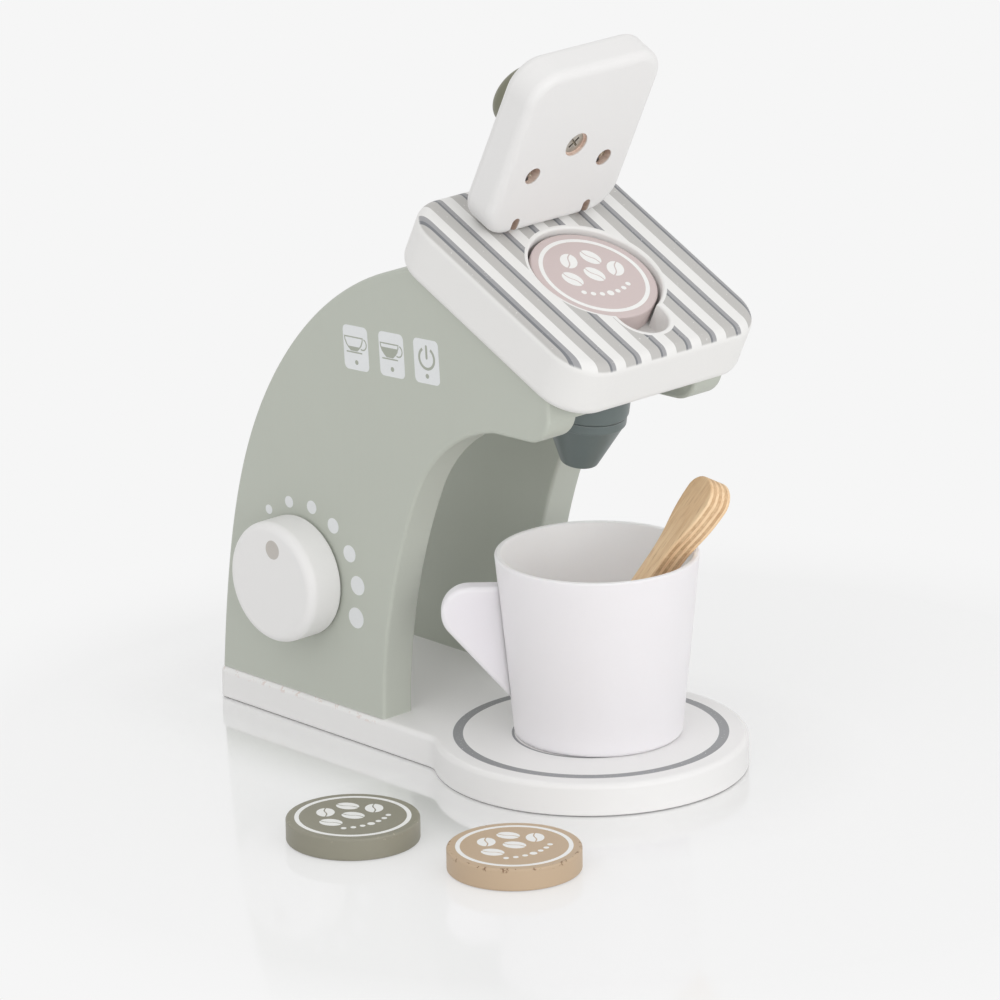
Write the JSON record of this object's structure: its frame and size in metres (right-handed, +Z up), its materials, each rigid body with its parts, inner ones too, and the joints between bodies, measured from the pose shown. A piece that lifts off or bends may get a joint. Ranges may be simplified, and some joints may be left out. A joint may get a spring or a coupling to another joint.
{
  "type": "toy coffee maker",
  "caption": "Toy coffee maker of painted wood: arched side panels, sloped head with a lidded pod pocket, nozzle, turning dial, cup with stirrer and loose pods.",
  "frame": {"origin": "on the underside of the base plate, below the centre of its round front end", "axes": "+Z up, front towards -Y, the dial on the -X side; +X is to the right seen from the front"},
  "size_m": [0.1638, 0.1977, 0.2251],
  "materials": {
    "white_paint": "satin white paint",
    "sage_paint": "satin sage-green paint",
    "olive_paint": "satin olive paint",
    "slate_paint": "satin slate paint",
    "cup_white": "matte",
    "plywood": "bare layered plywood",
    "pink_paint": "satin dusty-pink paint",
    "green_paint": "satin green-grey paint",
    "tan_paint": "satin tan paint",
    "beech": "bare wood",
    "screw_steel": "zinc plated",
    "cord": "twisted elastic cord"
  },
  "bodies": {
    "machine": {"base_plate": "white_paint", "left_side_panel": "sage_paint", "right_side_panel": "sage_paint", "panel_screws": "screw_steel", "panel_dowels": "beech", "cross_block": "sage_paint", "cross_block_dowels": "beech", "head_board": "white_paint", "head_screws": "screw_steel", "nozzle_boss": "sage_paint", "nozzle": "slate_paint", "nozzle_screw": "screw_steel", "head_cords": "cord"},
    "lid": {"lid": "white_paint", "lid_screw": "screw_steel", "lid_knob": "olive_paint", "lid_cords": "cord"},
    "dial": {"dial_knob": "white_paint", "dial_washer": "screw_steel", "dial_screw": "screw_steel"},
    "cup": {"cup": "cup_white", "cup_handle": "cup_white"},
    "spoon": {"spoon": "plywood"},
    "pocket_pod": {"pod_pink": "pink_paint"},
    "green_pod": {"pod_green": "green_paint"},
    "tan_pod": {"pod_tan": "tan_paint"}
  },
  "joints": [
    {"name": "lid_hinge", "type": "hinge", "parent": "machine", "child": "lid", "pos_m": [0, 0.01685, 0.16663], "axis": [1, 0, 0], "range_deg": [0, 90]},
    {"name": "dial_turn", "type": "hinge", "parent": "machine", "child": "dial", "pos_m": [-0.0372, 0.0895, 0.0485], "axis": [-1, 0, 0], "continuous": true},
    {"name": "cup_slide", "type": "slide", "parent": "machine", "child": "cup", "axis": [0, -1, 0], "range_m": [0, 0.095]},
    {"name": "spoon_lift", "type": "slide", "parent": "cup", "child": "spoon", "axis": [0.4017, -0.3806, 0.8329], "range_m": [0, 0.085]},
    {"name": "pocket_pod_lift", "type": "slide", "parent": "machine", "child": "pocket_pod", "axis": [0, 0.4321, -0.9018], "range_m": [-0.045, 0]},
    {"name": "green_pod_lift", "type": "slide", "parent": "machine", "child": "green_pod", "axis": [0, 0, 1], "range_m": [0, 0.05]},
    {"name": "tan_pod_lift", "type": "slide", "parent": "machine", "child": "tan_pod", "axis": [0, 0, 1], "range_m": [0, 0.05]}
  ]
}
